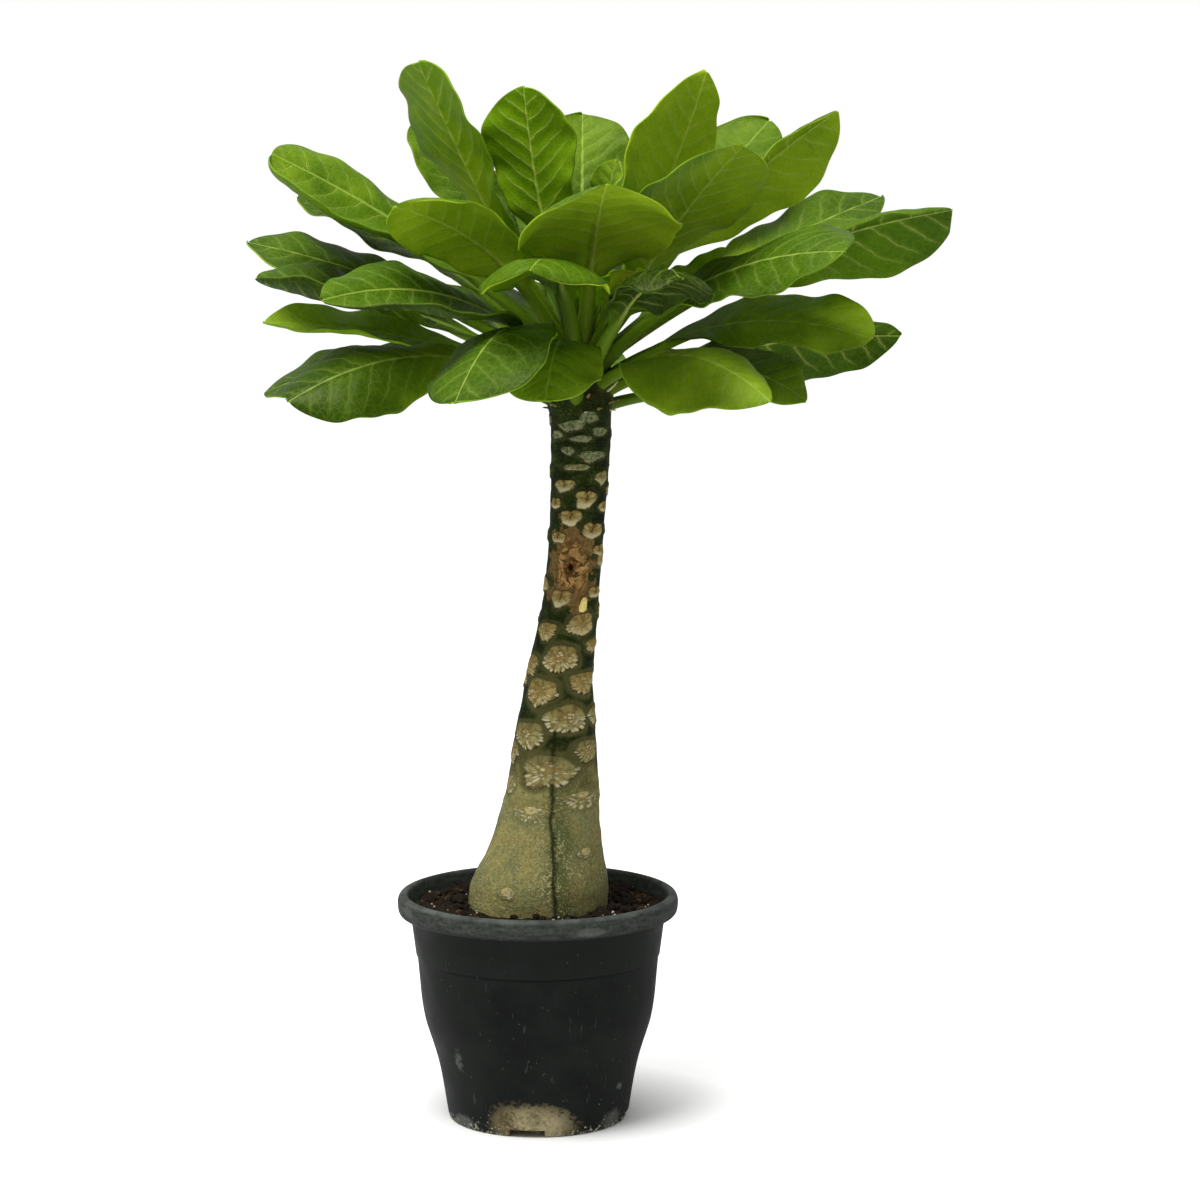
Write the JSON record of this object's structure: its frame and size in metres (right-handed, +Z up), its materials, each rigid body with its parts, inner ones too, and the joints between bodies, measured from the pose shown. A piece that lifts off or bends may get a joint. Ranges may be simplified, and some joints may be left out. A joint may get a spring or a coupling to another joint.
{
  "type": "potted hawaiian palm",
  "caption": "Potted hawaiian palm: swollen stem with leaf scars, a head of large obovate leaves, and a round nursery pot filled with soil.",
  "frame": {"origin": "middle of the pot's base, on the surface it stands on", "axes": "+Z up along the plant, -Y towards the front as pictured, +X to the right as seen from the front"},
  "size_m": [0.4132, 0.3476, 0.6338],
  "materials": {
    "pot_plastic": "black nursery plastic, slightly greyed and scuffed on the rim",
    "potting_soil": "dark crumbly potting mix with white perlite; fabric stands in for soil",
    "bark": "dull olive bark with pale leaf scars",
    "leaf": "fleshy green leaf with a soft sheen and pale veins; rubber stands in for leaf flesh"
  },
  "bodies": {
    "root": {"pot": "pot_plastic", "soil": "potting_soil", "stem": "bark", "leaf_01": "leaf", "leaf_02": "leaf", "leaf_03": "leaf", "leaf_04": "leaf", "leaf_05": "leaf", "leaf_06": "leaf", "leaf_07": "leaf", "leaf_08": "leaf", "leaf_09": "leaf", "leaf_10": "leaf", "leaf_11": "leaf", "leaf_12": "leaf", "leaf_13": "leaf", "leaf_14": "leaf", "leaf_15": "leaf", "leaf_16": "leaf", "leaf_17": "leaf", "leaf_18": "leaf", "leaf_19": "leaf", "leaf_20": "leaf", "leaf_21": "leaf", "leaf_22": "leaf", "leaf_23": "leaf", "leaf_24": "leaf", "leaf_25": "leaf", "leaf_26": "leaf", "leaf_27": "leaf", "leaf_28": "leaf", "leaf_29": "leaf", "leaf_30": "leaf", "leaf_31": "leaf", "leaf_32": "leaf", "leaf_33": "leaf", "leaf_34": "leaf", "leaf_35": "leaf", "leaf_36": "leaf", "leaf_37": "leaf", "leaf_38": "leaf", "leaf_39": "leaf", "leaf_40": "leaf", "leaf_41": "leaf", "leaf_42": "leaf", "leaf_43": "leaf", "leaf_44": "leaf"}
  },
  "joints": []
}
